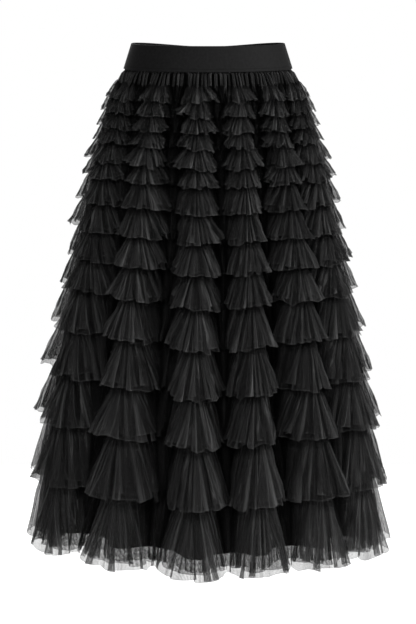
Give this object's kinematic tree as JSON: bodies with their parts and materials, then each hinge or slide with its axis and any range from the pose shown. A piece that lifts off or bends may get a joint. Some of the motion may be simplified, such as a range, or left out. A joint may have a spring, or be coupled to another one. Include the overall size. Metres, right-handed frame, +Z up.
{
  "type": "tiered tulle skirt",
  "caption": "Flared knee-length tulle skirt with an elastic waistband and rows of gathered flounces, filled out as it hangs.",
  "frame": {"origin": "middle of the waist opening, half way up the waistband", "axes": "+Z up out of the waist, -Y towards the front, +X towards the wearer's left"},
  "size_m": [0.5573, 0.4717, 0.774],
  "materials": {
    "elastic": "matt ribbed elastic, black",
    "lining": "smooth woven lining, black",
    "tulle": "soft fine net, black"
  },
  "bodies": {
    "root": {"waistband": "elastic", "lining": "lining", "net_underskirt": "tulle", "flounce_01": "tulle", "flounce_02": "tulle", "flounce_03": "tulle", "flounce_04": "tulle", "flounce_05": "tulle", "flounce_06": "tulle", "flounce_07": "tulle", "flounce_08": "tulle", "flounce_09": "tulle", "flounce_10": "tulle", "flounce_11": "tulle", "flounce_12": "tulle", "flounce_13": "tulle", "flounce_14": "tulle", "flounce_15": "tulle"}
  },
  "joints": []
}
